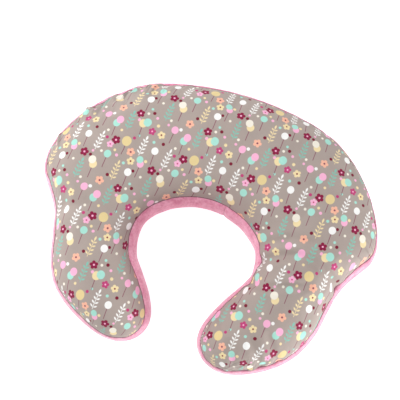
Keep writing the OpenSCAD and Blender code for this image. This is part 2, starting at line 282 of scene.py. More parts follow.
def inside(points, loop):
    """Which points lie inside a closed loop."""
    hit = np.zeros(len(points), bool)
    for p, q in zip(loop, np.roll(loop, -1, 0)):
        crosses = (p[1] > points[:, 1]) != (q[1] > points[:, 1])
        x = p[0] + (points[:, 1] - p[1]) * (q[0] - p[0]) / (q[1] - p[1] + 1e-12)
        hit ^= crosses & (points[:, 0] < x)
    return hit


def panel_points(flat, seed):
    """Flat points that fill a panel: its rim, a row beside the rim and an uneven lattice of triangles."""
    rim = flat[-1, :-1]
    inward = flat[0, :-1] - rim
    inward /= np.linalg.norm(inward, axis=1)[:, None]
    second = rim + inward * SEAM_ROW
    rng = np.random.default_rng(seed)
    low, high = rim.min(0), rim.max(0)
    rows = np.arange(low[1], high[1], CELL * math.sqrt(3) / 2)
    lattice = []
    for k, y in enumerate(rows):
        xs = np.arange(low[0] + (k % 2) * CELL / 2, high[0], CELL)
        lattice.append(np.stack([xs, np.full_like(xs, y)], 1))
    lattice = np.concatenate(lattice)
    uneven, room = 0.14, 0.6  # in cells
    lattice += rng.uniform(-uneven, uneven, lattice.shape) * CELL
    near = np.min(np.linalg.norm(lattice[:, None] - rim[None], axis=2), axis=1)
    lattice = lattice[inside(lattice, rim) & (near > SEAM_ROW + room * CELL)]
    return np.concatenate([rim, second, lattice])


def panel_triangles(points):
    """Triangles between a panel's flat points, with edges along its rim and along the row beside it."""
    rim = points[:N_LOOP]
    ring = [(i, (i + 1) % N_LOOP) for i in range(N_LOOP)]
    ring2 = [(a + N_LOOP, b + N_LOOP) for a, b in ring]
    _, _, faces, origin, _, _ = geometry.delaunay_2d_cdt(
        [Vector(p) for p in points], ring + ring2, [], 1, 1e-7, True
    )
    index = [o[0] for o in origin]
    triangles = np.array([[index[v] for v in f] for f in faces])
    return triangles[inside(points[triangles].mean(1), rim)]


def panel_mesh(rise, seed):
    """(points, flat points, triangles) of a panel cut from even triangles, with its points as in
    panel_grid's solid. The first N_LOOP points are its seam."""
    flat, solid = panel_grid(rise)
    points = panel_points(flat, seed)
    n_ring, n_t = flat.shape[:2]
    grid = flat.reshape(-1, 2)
    target = solid.reshape(-1, solid.shape[2])
    cells = []
    for k in range(n_ring - 1):
        for i in range(n_t - 1):
            a = k * n_t + i
            if k:
                cells.append((a, a + 1, a + n_t + 1))
            cells.append((a, a + n_t + 1, a + n_t))
    tree = BVHTree.FromPolygons([(x, y, 0) for x, y in grid], cells)
    placed = np.empty((len(points), solid.shape[2]))
    placed[:N_LOOP] = solid[-1, :-1]
    for n in range(N_LOOP, len(points)):
        spot, _, cell, _ = tree.find_nearest(Vector((*points[n], 0)))
        a, b, c = cells[cell]
        placed[n] = bary(spot, grid[a], grid[b], grid[c], target[a], target[b], target[c])
    return placed, points, panel_triangles(points)


def bary(p, a, b, c, ta, tb, tc):
    """What belongs to a point in the triangle a, b, c, from what belongs to its corners."""
    v0, v1, v2 = b - a, c - a, np.array(p[:2]) - a
    den = v0[0] * v1[1] - v1[0] * v0[1]
    if abs(den) < 1e-14:
        return ta
    v = (v2[0] * v1[1] - v1[0] * v2[1]) / den
    w = (v0[0] * v2[1] - v2[0] * v0[1]) / den
    return ta + v * (tb - ta) + w * (tc - ta)


# ---- cover mesh and cloth simulation

TOP, BOTTOM, BAND = 0, 1, 2
SIM_FRAMES = 20
# The simulation's result is split into the overall swelling and the folds in it, which are smoothed a
# little. How much of each is kept:
SWELL_ROUNDS, SWELL_SHARE = 60, 0.25
FOLD_ROUNDS, BAND_FOLD_SHARE, PANEL_FOLD_SHARE = 2, 0.3, 1.1


def band_levels():
    """Heights of the band's rows, with a close row beside each seam and rows at the zipper slot's edges."""
    upper = np.linspace(SLOT_HALF, BAND_W / 2 - SEAM_ROW, 6)
    half = np.append(upper, BAND_W / 2)
    return MID_Z + np.concatenate([-half[::-1], [0], half])


LEVELS = band_levels()
SEAM_ROWS = (0, len(LEVELS) - 1)


def grid_faces(rows, columns, ring=True, loop=False, flip=False):
    """Quads between rows of points. In a ring each row closes on itself, in a loop the last row meets the
    first, and flip turns the quads over."""
    faces = []
    for i in range(rows if loop else rows - 1):
        j = (i + 1) % rows
        for k in range(columns if ring else columns - 1):
            m = (k + 1) % columns
            a, b, c, d = i * columns + k, i * columns + m, j * columns + m, j * columns + k
            faces.append((a, d, c, b) if flip else (a, b, c, d))
    return faces


def cover_mesh():
    """The whole cover as one welded surface: points, faces, each face's panel and its points' flat places.
    A point is its place, how far along the seams it is, and how far from the nearer seam."""
    top, top_flat, top_tris = panel_mesh(top_rise, seed=3)
    bottom, bottom_flat, bottom_tris = panel_mesh(bottom_rise, seed=4)
    e, o = edge(LOOP_T), outward(LOOP_T)
    pull = seam_inset(LOOP_T)
    sink = (HIGH_SEAM - high_seam(LOOP_T)) / (BAND_W / 2 - SLOT_HALF)
    band = np.empty((len(LEVELS), N_LOOP, 5))
    for k, z in enumerate(LEVELS):
        inset = pull if k in SEAM_ROWS else band_inset(LOOP_T, z)
        band[k, :, :2] = e - inset[:, None] * o
        band[k, :, 2] = z - sink * max(0, z - MID_Z - SLOT_HALF)
        band[k, :, 3] = ALONG[:-1]
        band[k, :, 4] = BAND_W / 2 - abs(z - MID_Z)
    n_band = len(LEVELS) * N_LOOP
    n_top = len(top) - N_LOOP
    points = np.concatenate([band.reshape(-1, 5), top[N_LOOP:], bottom[N_LOOP:]])

    faces = grid_faces(len(LEVELS), N_LOOP, flip=True)
    panels = [BAND] * len(faces)
    flats = [
        ((a, low), (a, high), (b, high), (b, low))
        for low, high in zip(LEVELS[:-1], LEVELS[1:])
        for a, b in zip(ALONG[:-1], ALONG[1:])
    ]
    # a panel's seam comes first in it: the top's is the band's last row, the underside's is its first
    for panel, triangles, flat, seam_at, rest_at in (
        (TOP, top_tris, top_flat, n_band - N_LOOP, n_band - N_LOOP),
        (BOTTOM, bottom_tris[:, ::-1], bottom_flat, 0, n_band + n_top - N_LOOP),
    ):
        faces += [tuple(v + (seam_at if v < N_LOOP else rest_at) for v in tri) for tri in triangles]
        panels += [panel] * len(triangles)
        flats += [tuple(tuple(flat[v]) for v in tri) for tri in triangles]
    return points, faces, np.array(panels), flats


def new_mesh(name, points, faces):
    mesh = bpy.data.meshes.new(name)
    mesh.from_pydata([tuple(p) for p in points], [], [tuple(int(v) for v in f) for f in faces])
    mesh.validate()
    obj = bpy.data.objects.new(name, mesh)
    bpy.context.scene.collection.objects.link(obj)
    return obj


def zip_hold(points):
    """1 where the cover is held to the zipper, falling to 0 around it."""
    x, y = points[:, 0] - ARC_CENTRE[0], points[:, 1] - ARC_CENTRE[1]
    angle = np.degrees(np.abs(np.arctan2(x, y)))
    end_angle, end_fade = 25, 4
    by_angle = np.clip((end_angle - angle) / end_fade, 0, 1)
    reach, fade = 26 * MM, 12 * MM
    by_height = np.clip((reach - np.abs(points[:, 2] - MID_Z)) / fade, 0, 1)
    near_arc = np.hypot(x, y) > BACK_R * MM - 12 * MM
    return near_arc * by_angle * by_height


def simulate(points, faces, held):
    """Stuffs the cover: a cloth simulation with pressure inside and the seams held."""
    obj = new_mesh("cloth_work", points, faces)
    pins = obj.vertex_groups.new(name="held")
    for i, w in enumerate(held):
        if w > 0:
            pins.add([i], float(w), "REPLACE")
    cloth = obj.modifiers.new("Cloth", "CLOTH")
    s = cloth.settings
    s.quality = 6
    s.mass = 0.3
    s.tension_stiffness = 15
    s.compression_stiffness = 15
    s.shear_stiffness = 6
    s.bending_stiffness = 0.6
    s.air_damping = 2
    s.vertex_group_mass = "held"
    s.use_pressure = True
    s.uniform_pressure_force = 4
    s.shrink_min = -0.014
    s.effector_weights.gravity = 0
    cloth.collision_settings.use_collision = False
    scene = bpy.context.scene
    scene.frame_start, scene.frame_end = 1, SIM_FRAMES
    for f in range(1, SIM_FRAMES + 1):
        scene.frame_set(f)
    settled = obj.evaluated_get(bpy.context.evaluated_depsgraph_get()).data
    co = np.empty(len(settled.vertices) * 3, np.float32)
    settled.vertices.foreach_get("co", co)
    bpy.data.objects.remove(obj)
    return co.reshape(-1, 3).astype(float)


def edge_pairs(faces):
    """The two points of each edge."""
    pairs = {tuple(sorted((f[k], f[(k + 1) % len(f)]))) for f in faces for k in range(len(f))}
    return np.array(sorted(pairs))


def smoothed(values, pairs, rounds):
    """Values after each has gone halfway to its neighbours' average, as often as rounds says."""
    for _ in range(rounds):
        total = np.zeros_like(values)
        count = np.zeros(len(values))
        for a, b in ((0, 1), (1, 0)):
            np.add.at(total, pairs[:, a], values[pairs[:, b]])
            np.add.at(count, pairs[:, a], 1)
        values = 0.5 * values + 0.5 * total / count[:, None]
    return values


def point_normals(points, faces):
    total = np.zeros_like(points)
    for size in (3, 4):
        chosen = np.array([f for f in faces if len(f) == size])
        a, b, c = points[chosen[:, 0]], points[chosen[:, size // 2]], points[chosen[:, -1]]
        normal = np.cross(b - a, c - a)
        for k in range(size):
            np.add.at(total, chosen[:, k], normal)
    return total / np.linalg.norm(total, axis=1)[:, None]


def ripple(x, y, seed):
    """Smooth noise from -1 to 1 at points x, y, in units of its own wavelength."""
    return np.array([noise.noise(Vector((a, b, seed))) for a, b in zip(x, y)])


# Soft creases of the top: points (mm), depth and half width (mm)
CREASES = [
    ([(102, -40), (128, -26), (160, -18), (200, -28), (232, -46)], 5.0, 6.5),
    ([(94, -76), (118, -80), (146, -74), (182, -60)], 4.2, 6),
    ([(112, -10), (140, 4), (172, 6)], 2.6, 7),
    ([(146, -150), (158, -170), (178, -186)], 2.4, 5),
    ([(122, -162), (134, -182), (150, -200)], 2.2, 5),
    ([(92, -176), (98, -194), (108, -212)], 1.6, 5),
    ([(-146, -36), (-175, -30), (-218, -44)], 2.0, 8),
    ([(-238, 96), (-214, 118), (-186, 128)], 2.2, 7),
    ([(-222, 128), (-196, 148), (-160, 156)], 2.4, 6.5),
    ([(-190, 156), (-160, 172), (-122, 176)], 2.2, 6),
]


def distance_to_path(points, path):
    best = np.full(len(points), np.inf)
    for a, b in zip(path[:-1], path[1:]):
        d = b - a
        u = np.clip(((points - a) @ d) / (d @ d), 0, 1)
        best = np.minimum(best, np.linalg.norm(points - a - u[:, None] * d, axis=1))
    return best


# Where the top is gathered most: middle (mm), how far that reaches (mm), strength
GATHERS = [((-180, 172), 90, 2.2), ((-262, 60), 55, 0.9), ((262, 10), 50, 0.9), ((125, -205), 65, 1.0)]
LOOSE_RUN = 90 * MM  # how slowly the fullness of the seams changes along them


def hump(distance, half_width):
    """1 at no distance, falling smoothly to 0 over about twice the half width."""
    return np.exp(-((distance / half_width) ** 2))


def fullness(along, least):
    """How full the seam is along its way."""
    average, swing = 0.45, 0.55
    return np.maximum(average + swing * ripple(along / LOOSE_RUN, along * 0, seed=4.0), least)


def near_gathers(base):
    """For each place where the top is gathered, its strength and how near to it each point is."""
    for middle_at, reach, strength in GATHERS:
        gap = np.linalg.norm(base[:, :2] / MM - middle_at, axis=1)
        yield strength, hump(gap, reach)


def gathering(base, along, depth):
    """How strongly the cloth is gathered at each point. The gathers fade away from the seams."""
    seam_share, seam_fade = 0.35, 14 * MM
    share = seam_share * fullness(along, 0.1) * hump(depth, seam_fade)
    most_share, most_fade = 0.6, 34 * MM
    for strength, near in near_gathers(base):
        share += most_share * strength * near * hump(depth, most_fade)
    return share


def pucker(base, along, depth, is_top):
    """How far the gathers square to the seams lift the cloth (m). They fade away from the seams."""
    # wavelengths along the seam and away from it, how far the gathers reach, and how high they are on the
    # top and elsewhere (mm)
    coarse, fine, fade = (11 * MM, 60 * MM), (6 * MM, 40 * MM), 15 * MM
    fine_share, heights = 0.5, (2.0, 1.2)
    wave = ripple(along / coarse[0], depth / coarse[1], seed=2.0)
    wave += fine_share * ripple(along / fine[0], depth / fine[1], seed=7.0)
    lift = np.where(is_top, *heights) * fullness(along, 0.08) * wave * hump(depth, fade)
    # deeper slanting folds where the top is gathered most, each with a sharp valley
    run, slant, length, fade = 13 * MM, 0.7, 80 * MM, 32 * MM
    valley_depth, valley_half, heights = 0.9, 0.25, (3.0, 0.5)
    wave = ripple((along + slant * depth) / run, depth / length, seed=12.0)
    fold = (wave - valley_depth * hump(wave, valley_half)) * hump(depth, fade)
    for strength, near in near_gathers(base):
        lift += np.where(is_top, *heights) * strength * fold * near
    return lift * MM


def creased(base, is_top):
    """How far the soft creases sink the top (m), with a low ridge along each."""
    ridge_share, ridge_at = 0.35, 2
    lift = np.zeros(len(base))
    for path, deep, half in CREASES:
        gap = distance_to_path(base[:, :2], np.array(path) * MM) / (half * MM)
        lift -= np.where(is_top, deep * MM * (hump(gap, 1) - ridge_share * hump(gap - ridge_at, 1)), 0)
    return lift


def stuffed_cover():
    """The cover's mesh after stuffing: (points, faces, panels, flats, gathers). gathers has, for each
    point, how far along the seams it is, how far from them, and how strongly it is gathered."""
    rows, faces, panels, flats = cover_mesh()
    base, along, depth = rows[:, :3], rows[:, 3], rows[:, 4]
    n_band = len(LEVELS) * N_LOOP
    in_band = np.arange(len(base)) < n_band
    is_top = np.zeros(len(base), bool)
    is_top[[v for f, panel in zip(faces, panels) if panel == TOP for v in f]] = True
    zipped = zip_hold(base)
    points = base.copy()
    held = zipped.copy()
    held[:N_LOOP] = 1
    held[n_band - N_LOOP : n_band] = 1
    moved = simulate(base, faces, held) - base
    pairs = edge_pairs(faces)
    swell = smoothed(moved, pairs, SWELL_ROUNDS)
    folds = smoothed(moved - swell, pairs, FOLD_ROUNDS)
    fold_share = np.where(in_band, BAND_FOLD_SHARE, PANEL_FOLD_SHARE)
    points += SWELL_SHARE * swell + fold_share[:, None] * folds
    lift = pucker(base, along, depth, is_top) * (1 - zipped) + creased(base, is_top)
    for join in JOINS:
        gap = along - np.interp(join, LOOP_T, ALONG[:-1])
        lift -= in_band * (1 - zipped) * JOIN_GROOVE * hump(gap, JOIN_ROW)
    points += point_normals(base, faces) * lift[:, None]
    points[:, 2] = np.maximum(points[:, 2], 0)
    gathers = np.column_stack([along, depth, gathering(base, along, depth) * (1 - zipped)])
    return points, faces, panels, flats, gathers


# ---- shader building

def srgb(r, g, b):
    """Linear colour for display values from 0 to 255."""
    def linear(v):
        v /= 255
        return v / 12.92 if v <= 0.04045 else ((v + 0.055) / 1.055) ** 2.4
    return (linear(r), linear(g), linear(b))


def formula(operation):
    return lambda self, *others: self.shader.math(operation, self, *others)


class Value:
    """A node's output. A formula with it adds the math nodes that work the formula out."""

    def __init__(self, shader, socket):
        self.shader = shader
        self.socket = socket

    __add__ = formula("ADD")
    __sub__ = formula("SUBTRACT")
    __mul__ = formula("MULTIPLY")
    __truediv__ = formula("DIVIDE")
    __pow__ = formula("POWER")
    __abs__ = formula("ABSOLUTE")

    def __rsub__(self, other):
        return self.shader.math("SUBTRACT", other, self)


class Shader:
    """One material and short ways to add nodes to it. Inputs are numbers, tuples or Values."""

    def __init__(self, name, **settings):
        self.material = bpy.data.materials.new(name)
        self.material.use_nodes = True
        self.tree = self.material.node_tree
        self.surface = self.tree.nodes["Principled BSDF"]
        for key, value in settings.items():
            self.put(self.surface.inputs[key.replace("_", " ")], value)

    def put(self, target, value):
        if isinstance(value, Value):
            self.tree.links.new(value.socket, target)
        elif target.type == "RGBA":
            target.default_value = (*value, 1)
        else:
            target.default_value = value

    def node(self, kind, *values, **settings):
        made = self.tree.nodes.new("ShaderNode" + kind)
        for key, value in settings.items():
            setattr(made, key, value)
        for target, value in zip(made.inputs, values):
            self.put(target, value)
        return made

    def output(self, made, key=0):
        return Value(self, made.outputs[key])

    def math(self, operation, *values):
        return self.output(self.node("Math", *values, operation=operation))

    def least(self, a, b):
        return self.math("MINIMUM", a, b)

    def most(self, a, b):
        return self.math("MAXIMUM", a, b)

    def sine(self, value):
        return self.math("SINE", value)

    def vector(self, operation, *values):
        return self.output(self.node("VectorMath", *values, operation=operation), "Vector")

    def scaled(self, vector, factors):
        return self.vector("MULTIPLY", vector, factors)

    def shaded(self, colour, factor):
        made = self.node("VectorMath", colour, operation="SCALE")
        self.put(made.inputs["Scale"], factor)
        return self.output(made)

    def length(self, vector):
        return self.output(self.node("VectorMath", vector, operation="LENGTH"), "Value")

    def split(self, vector):
        made = self.node("SeparateXYZ", vector)
        return [self.output(made, k) for k in range(3)]

    def joined(self, x, y, z=0):
        return self.output(self.node("CombineXYZ", x, y, z))

    def blend(self, share, a, b, kind="RGBA"):
        made = self.node("Mix", data_type=kind)
        first, second, result = {"VECTOR": (4, 5, 1), "RGBA": (6, 7, 2)}[kind]
        for key, value in ((0, share), (first, a), (second, b)):
            self.put(made.inputs[key], value)
        return self.output(made, result)

    def noise(self, place, size_mm, detail=2.0, rough=0.5):
        """Noise from 0 to 1 whose features are about size_mm across, at a place given in mm."""
        made = self.node("TexNoise")
        self.put(made.inputs["Vector"], self.scaled(place, (1 / size_mm,) * 3))
        for key, value in (("Scale", 1.0), ("Detail", detail), ("Roughness", rough)):
            made.inputs[key].default_value = value
        return self.output(made, "Fac")

    def fit(self, value, low, high, to_low=0.0, to_high=1.0):
        """A value from low to high, carried over to the range from to_low to to_high."""
        return self.output(self.node("MapRange", value, low, high, to_low, to_high))

    def place(self):
        """The point's place on the object, in mm."""
        return self.scaled(self.output(self.node("TexCoord"), "Object"), (1 / MM,) * 3)

    def cloth(self):
        """The point's place on the flat cloth, in mm."""
        return self.scaled(self.output(self.node("UVMap", uv_map="flat")), (1 / MM,) * 3)

    def puckers(self, run_mm):
        """Fine folds running away from the seams, about run_mm apart: their height from -1 to 1, in
        strength as the cloth is gathered."""
        made = self.node("Attribute", attribute_name="gathers")
        along, depth, strength = self.split(self.output(made, "Vector"))
        along, depth = along * (1 / MM), depth * (1 / MM)
        slant, stretch = 0.8, 0.14
        place = self.joined(along + depth * slant, depth * stretch)
        return self.fit(self.noise(place, run_mm, 1), 0.25, 0.75, -1, 1) * strength

    def weave(self, place, pitch_mm):
        """Height of a plain weave of that thread pitch, from -1 to 1."""
        x, y, _ = self.split(self.scaled(place, (math.pi / pitch_mm,) * 3))
        return self.sine(x) * self.sine(y)

    def bump(self, height, depth_mm):
        made = self.node("Bump")
        made.inputs["Distance"].default_value = depth_mm * MM
        self.put(made.inputs["Height"], height)
        self.put(self.surface.inputs["Normal"], self.output(made))

    def colour(self, value):
        self.put(self.surface.inputs["Base Color"], value)

    def rough(self, value):
        self.put(self.surface.inputs["Roughness"], value)


# ---- printed cotton

GROUND = srgb(171, 157, 150)
STEM = srgb(130, 58, 88)
MINT = srgb(168, 224, 210)
LEAF_MINT = srgb(128, 196, 180)
WHITE = srgb(247, 246, 244)
CREAM = srgb(243, 236, 222)
BUFF = srgb(240, 219, 170)
YELLOW = srgb(228, 206, 150)
PINK = srgb(248, 180, 212)
ROSE = srgb(190, 60, 118)
BURGUNDY = srgb(138, 0, 60)
WINE = srgb(122, 14, 46)
CORAL = srgb(246, 184, 158)

# The repeat of the print (mm). Everything below is in mm within it, and x runs across the cloth.
TILE = (111, 126)
# Leaf sprigs: middle, lean in degrees, colour
SPRIGS = [
    ((11, 20), -7, LEAF_MINT),
    ((29, 71), -10, WHITE),
    ((67, 31), -8, BUFF),
    ((67, 116), -6, LEAF_MINT),
    ((98, 81), -9, WHITE),
]
# Discs on stems: middle, lean, radius, place of the second disc from the first, colour, second colour
POPS = [
    ((7, 70), -3, 5.8, (0, 0), WHITE, WHITE),
    ((30, 23), -6, 6.4, (-4.0, 6.5), BUFF, CREAM),
    ((47, 45), -5, 6.0, (0, 0), MINT, MINT),
    ((27, 111), -8, 5.9, (0, 0), PINK, PINK),
    ((46, 98), -4, 6.3, (3.6, 6.8), MINT, PINK),
    ((70, 73), -6, 7.8, (0, 0), YELLOW, YELLOW),
    ((86, 26), -5, 6.0, (0, 0), WHITE, WHITE),
    ((87, 108), -3, 6.8, (6.2, 3.6), BUFF, MINT),
    ((101, 44), -7, 5.7, (-3.2, 6.2), PINK, MINT),
]
# Flowers of five petals: middle, turn in degrees, radius, petals, centre
FLOWERS = [
    ((11, 47), 10, 7.4, BURGUNDY, PINK),
    ((10, 105), 40, 6.4, BUFF, WINE),
    ((48, 9), 0, 7.0, CORAL, STEM),
    ((47, 69), 25, 5.8, PINK, ROSE),
    ((54, 78), 50, 7.4, BURGUNDY, PINK),
    ((86, 52), 30, 6.4, BUFF, WINE),
    ((82, 66), 5, 7.0, CORAL, STEM),
    ((105, 107), 15, 6.2, ROSE, PINK),
    ((79, 5), 35, 7.0, BURGUNDY, PINK),
]
# Dots: middle, radius, colour
DOTS = [
    ((2, 91), 2.4, MINT), ((17, 92), 2.7, WINE), ((1, 118), 2.6, BUFF), ((16, 124), 2.1, PINK),
    ((22, 45), 2.6, WINE), ((37, 55), 2.2, CREAM), ((24, 52), 2.0, PINK), ((39, 79), 2.6, ROSE),
    ((37, 91), 2.2, CREAM), ((37, 122), 2.7, WHITE), ((62, 55), 2.5, PINK), ((57, 62), 2.2, BUFF),
    ((57, 21), 2.7, WINE), ((81, 89), 2.5, ROSE), ((87, 95), 2.0, MINT), ((91, 8), 2.2, CREAM),
    ((76, 46), 2.4, MINT), ((94, 38), 2.5, WINE), ((100, 11), 2.7, WINE), ((95, 17), 2.2, MINT),
    ((107, 4), 2.3, PINK), ((108, 32), 2.1, CREAM), ((109, 58), 2.5, BUFF), ((80, 120), 2.5, PINK),
    ((58, 96), 2.2, BUFF), ((18, 6), 2.2, CREAM),
]
EDGE = 0.35  # how soft the print's edges are (mm)

STEM_HALF_W = 0.45  # of a sprig's stem
STEM_HALF_LEN = 16.5
LEAF_PITCH = 6.4  # from one pair of leaves to the next
LEAVES_FROM, LEAVES_TO = -14.0, 11.6  # along the stem
LEAF_HALF_LEN, LEAF_HALF_W = 3.5, 1.25
LEAF_OUT, LEAF_UP = 0.80, 0.60  # which way a leaf points
TIP_AT, TIP_HALF_LEN, TIP_HALF_W = 14.0, 4.0, 1.6  # the leaf at the tip

# A flower, in shares of its radius
PETAL_AT, PETAL_R, CORE_R, CENTRE_R = 0.60, 0.39, 0.42, 0.22


def nearest(s, place, motifs, reach):
    """The place in the motif nearest to a point, in mm, with what goes with that motif. motifs are
    (middle, lean, *vectors), and reach scales x and y when it judges what is near."""
    half = (TILE[0] / 2, TILE[1] / 2, 1)
    best_gap, best = None, None
    for middle_at, lean, *extras in motifs:
        away = s.vector("SUBTRACT", place, (*middle_at, 0))
        near = s.vector("WRAP", away, half, tuple(-h for h in half))
        turned = s.node("VectorRotate", near, rotation_type="Z_AXIS")
        turned.inputs["Angle"].default_value = math.radians(-lean)
        local = s.output(turned)
        gap = s.length(s.scaled(local, (*reach, 1)))
        if best is None:
            best_gap, best = gap, [local, *extras]
            continue
        closer = s.math("LESS_THAN", gap, best_gap)
        best_gap = s.least(gap, best_gap)
        best = [s.blend(closer, old, new, "VECTOR") for old, new in zip(best, [local, *extras])]
    return best


def inked(s, distance):
    """1 where the distance to a shape's edge is below 0, inside the shape."""
    return s.fit(distance, -EDGE, EDGE, 1, 0)


def leaf_shape(along, across, half_len, half_w):
    """Distance out of a leaf with two pointed ends."""
    bow = (abs(along) / half_len) ** 2.0
    return across - (1.0 - bow) * half_w


def sprig_mask(s, local):
    x, y, _ = s.split(local)
    side = abs(x)
    stem = s.most(side - STEM_HALF_W, abs(y) - STEM_HALF_LEN)
    # leaf pairs repeat up the stem, and get smaller towards its tip
    half_len = s.fit(y, LEAVES_FROM, LEAVES_TO, 1.0, 0.78) * LEAF_HALF_LEN
    out = side - half_len
    up = s.math("WRAP", y, LEAVES_TO, LEAVES_TO - LEAF_PITCH) - (LEAVES_TO - LEAF_PITCH / 2)
    along = out * LEAF_OUT + up * LEAF_UP
    across = up * LEAF_OUT - out * LEAF_UP
    leaf = leaf_shape(along, abs(across), half_len, LEAF_HALF_W)
    leaf = s.most(leaf, s.most(y - LEAVES_TO, LEAVES_FROM - y))
    tip = leaf_shape(y - TIP_AT, side, TIP_HALF_LEN, TIP_HALF_W)
    return inked(s, s.least(stem, s.least(leaf, tip)))


def flower_masks(s, local, radius):
    """Masks of the petals and of the centre."""
    x, y, _ = s.split(local)
    out = s.length(local)
    sector = math.pi / 5
    angle = s.math("WRAP", s.math("ARCTAN2", y, x), sector, -sector)
    along = out * s.math("COSINE", angle) - radius * PETAL_AT
    across = out * s.sine(angle)
    petal = s.length(s.joined(along, across)) - radius * PETAL_R
    petal = s.least(petal, out - radius * CORE_R)
    return inked(s, petal), inked(s, out - radius * CENTRE_R)


def print_dots(s, place, colour):
    dots = [(middle_at, 0, (radius, 0, 0), tint) for middle_at, radius, tint in DOTS]
    local, size, tint = nearest(s, place, dots, (1, 1))
    radius, _, _ = s.split(size)
    return s.blend(inked(s, s.length(local) - radius), colour, tint)


def print_pops(s, place, colour):
    pops = [
        (middle_at, lean, (radius, *second), tint, tint2)
        for middle_at, lean, radius, second, tint, tint2 in POPS
    ]
    local, facts, tint, tint2 = nearest(s, place, pops, (1.5, 0.75))
    radius, second_x, second_y = s.split(facts)
    x, y, _ = s.split(local)
    disc_y, stem_mid, stem_half, stem_half_w = 8.0, -3.5, 11.5, 0.5
    stem = s.most(abs(x) - stem_half_w, abs(y - stem_mid) - stem_half)
    colour = s.blend(inked(s, stem), colour, STEM)
    first = s.joined(x, y - disc_y)
    second = s.vector("SUBTRACT", first, s.joined(second_x, second_y))
    for spot, paint in ((first, tint), (second, tint2)):
        disc = s.length(s.scaled(spot, (1.06, 0.98, 1))) - radius
        colour = s.blend(inked(s, disc), colour, paint)
    return colour


def print_flowers(s, place, colour):
    flowers = [(at, turn, (radius, 0, 0), petals, heart) for at, turn, radius, petals, heart in FLOWERS]
    local, size, petals, heart = nearest(s, place, flowers, (1, 1))
    radius, _, _ = s.split(size)
    petal, centre = flower_masks(s, local, radius)
    return s.blend(centre, s.blend(petal, colour, petals), heart)


def print_sprigs(s, place, colour):
    local, tint = nearest(s, place, SPRIGS, (1.6, 0.8))
    return s.blend(sprig_mask(s, local), colour, tint)


def printed_cotton():
    s = Shader("printed_cotton", Roughness=0.86, Sheen_Weight=0.05, Sheen_Roughness=0.5)
    cloth = s.cloth()
    # the cloth is never quite square to the pattern's pieces
    drift = s.noise(cloth, 90, 1)
    place = s.vector("ADD", cloth, s.scaled(s.joined(drift, drift), (1.6, 1.0, 0)))
    tone = s.fit(s.noise(cloth, 40, 3), 0.3, 0.7, 0.965, 1.035)
    colour = s.shaded(s.joined(*GROUND), tone)
    for layer in (print_dots, print_pops, print_flowers, print_sprigs):
        colour = layer(s, place, colour)
    # thread by thread, the dye takes a little unevenly, and painted shade darkens the folds' valleys
    weave = s.weave(cloth, 0.55)
    folds = s.puckers(9)
    uneven = s.fit(weave + s.noise(cloth, 1.2, 2), -1, 2, 0.955, 1.03)
    s.colour(s.shaded(colour, uneven * s.fit(folds, -0.6, 0.0, 0.62, 1.0)))
    s.rough(s.fit(weave, -1, 1, 0.92, 0.80))
    s.bump((weave + s.noise(cloth, 2.5, 3)) * 0.035 + folds, 1.6)
    return s.material


# ---- the other materials

def pile(name, light, dark, patch_mm, sheen):
    """A short-pile pink fabric, whose pile lies this way and that in patches."""
    s = Shader(
        name,
        Roughness=0.95,
        Specular_IOR_Level=0.25,
        Sheen_Weight=sheen,
        Sheen_Roughness=0.42,
        Sheen_Tint=srgb(255, 232, 240),
    )
    place = s.place()
    patch = s.noise(place, patch_mm, 3, 0.62)
    streak = s.noise(s.scaled(place, (1, 1, 0.45)), 3.2, 2)
    fleck = s.noise(place, 0.9, 1)
    s.colour(s.blend(s.fit(patch * 0.56 + streak * 0.32 + fleck * 0.12, 0.38, 0.60), dark, light))
    s.bump(fleck * 0.7 + streak * 1.2 + patch, 0.5)
    return s.material


def thread():
    s = Shader("sewing_thread", Roughness=0.55, Sheen_Weight=0.3)
    x, y, z = s.split(s.place())
    twist = s.sine((x + y + z) * 5.5)
    # dark wine; on the seams this dark thread also stands in for their painted shadow line
    s.colour(s.blend(s.fit(twist, -1, 1), srgb(96, 30, 56), srgb(138, 62, 92)))
    s.bump(twist, 0.08)
    return s.material


def tape():
    """Woven polyester tape, in a fine herringbone."""
    s = Shader("zip_tape", Roughness=0.7, Sheen_Weight=0.15)
    x, _, z = s.split(s.place())
    ridge = s.sine((x + s.math("PINGPONG", z, 1.1)) * 8.0)
    s.colour(s.blend(s.fit(ridge, -1, 1), srgb(226, 148, 178), srgb(243, 178, 203)))
    s.bump(ridge, 0.06)
    return s.material


def nylon():
    s = Shader("zip_coil", Subsurface_Weight=0.15, Subsurface_Scale=0.001)
    worn = s.noise(s.place(), 2.0, 2)
    s.colour(s.blend(worn, srgb(236, 160, 188), srgb(250, 192, 214)))
    s.rough(s.fit(worn, 0.3, 0.7, 0.26, 0.42))
    s.bump(worn, 0.03)
    return s.material


def nickel():
    """Bright plated metal, brushed fine, with light scuffs."""
    s = Shader("zip_metal", Metallic=1.0, Roughness=0.25)
    place = s.place()
    brushed = s.noise(s.scaled(place, (0.15, 0.15, 1)), 0.12, 2)
    scuff = s.fit(s.noise(place, 3.5, 5, 0.7), 0.55, 0.68)
    s.colour(s.blend(scuff, srgb(168, 167, 168), srgb(158, 156, 155)))
    s.rough(s.fit(brushed, 0.3, 0.7, 0.16, 0.28) + scuff * 0.12)
    s.bump(brushed, 0.01)
    return s.material


def satin():
    s = Shader("label_satin", Roughness=0.38, Sheen_Weight=0.2)
    place = s.place()
    _, _, z = s.split(place)
    weft = s.sine(z * 14.0)
    s.colour(s.blend(s.noise(place, 6, 2), srgb(216, 213, 207), srgb(228, 226, 221)))
    s.rough(s.fit(weft, -1, 1, 0.34, 0.48))
    s.bump(weft, 0.03)
    return s.material


